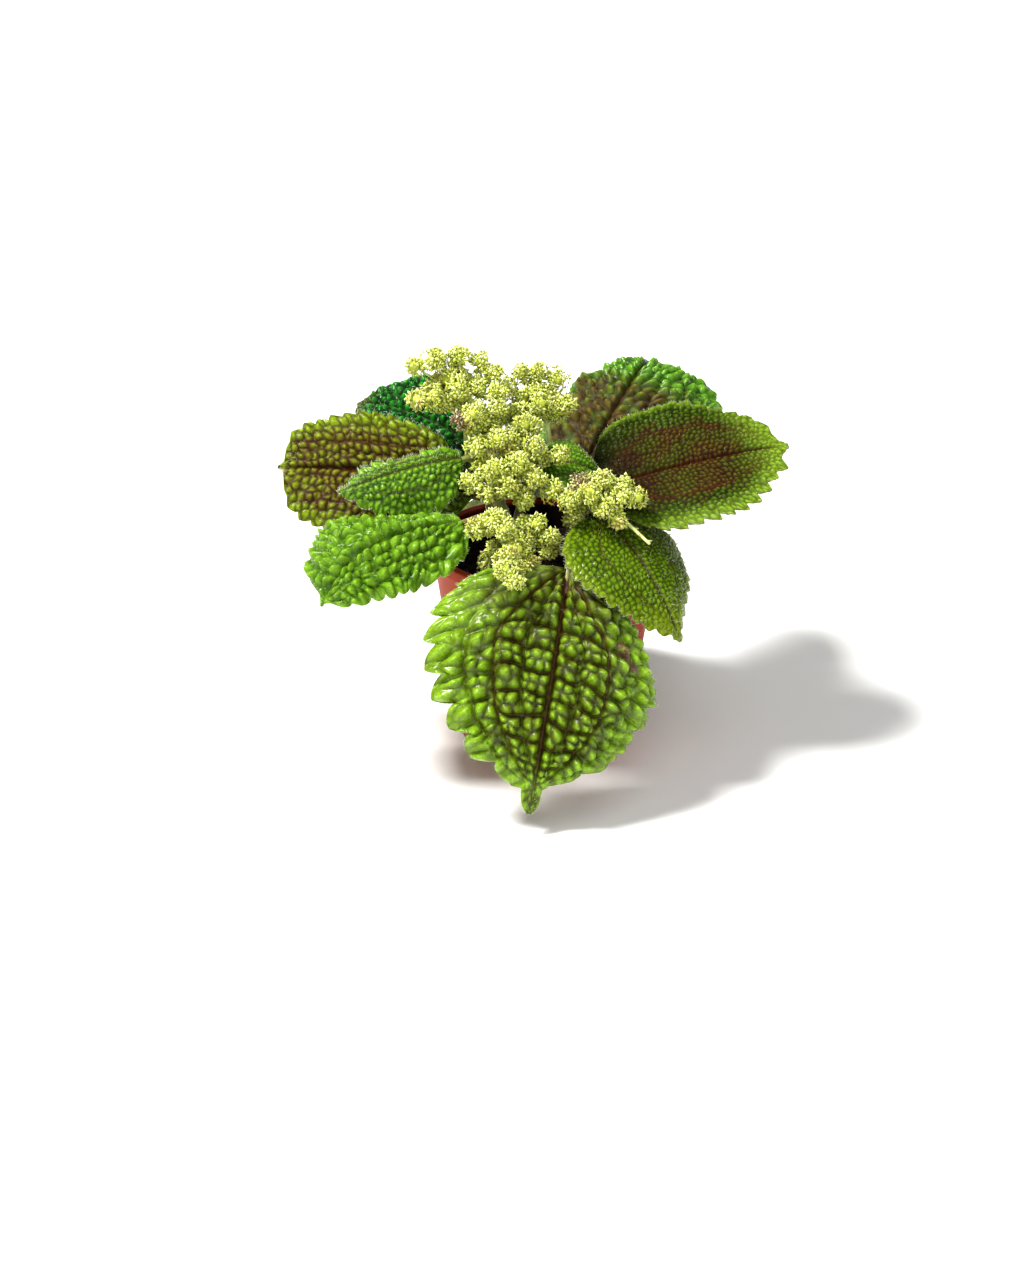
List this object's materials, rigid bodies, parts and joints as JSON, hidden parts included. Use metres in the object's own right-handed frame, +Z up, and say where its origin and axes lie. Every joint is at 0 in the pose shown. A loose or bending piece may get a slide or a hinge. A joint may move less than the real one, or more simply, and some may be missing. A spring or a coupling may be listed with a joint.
{
  "type": "potted moon valley pilea",
  "caption": "Young moon valley pilea with quilted toothed leaves and pale flower clusters, growing in a small terracotta-coloured nursery pot filled with soil.",
  "frame": {"origin": "centre of the pot's flat underside, on the surface that the pot stands on", "axes": "+Z up out of the pot, -Y towards the front with the large hanging leaf, +X to the right seen from the front"},
  "size_m": [0.1161, 0.109, 0.0916],
  "materials": {
    "pot": "satin moulded plastic, terracotta colour",
    "soil": "matte near-black peat with brown crumbs and bark",
    "stem": "fleshy, satin, green with a brown-red flush",
    "fresh_leaf": "glossy, quilted, bright green with brown veins and fine hairs",
    "bronze_leaf": "glossy, quilted, bronze with a lime margin, dark red veins and fine hairs",
    "dark_leaf": "glossy, quilted, deep green with brown veins and fine hairs",
    "flowers": "matte, lime to cream florets on pale stalks"
  },
  "bodies": {
    "root": {"pot": "pot", "soil": "soil", "stem_left": "stem", "stem_right": "stem", "leaf_right": "bronze_leaf", "leaf_back_right": "fresh_leaf", "leaf_front": "fresh_leaf", "leaf_front_right": "fresh_leaf", "leaf_young_right": "fresh_leaf", "leaf_low_right": "fresh_leaf", "leaf_left": "bronze_leaf", "leaf_back_left": "dark_leaf", "leaf_young_left": "fresh_leaf", "leaf_front_left": "fresh_leaf", "leaf_low_left": "fresh_leaf", "leaf_back": "fresh_leaf", "flowers_top_left": "flowers", "flowers_top_right": "flowers", "flowers_middle": "flowers", "flowers_front": "flowers", "flowers_right": "flowers", "flowers_low": "flowers"}
  },
  "joints": []
}
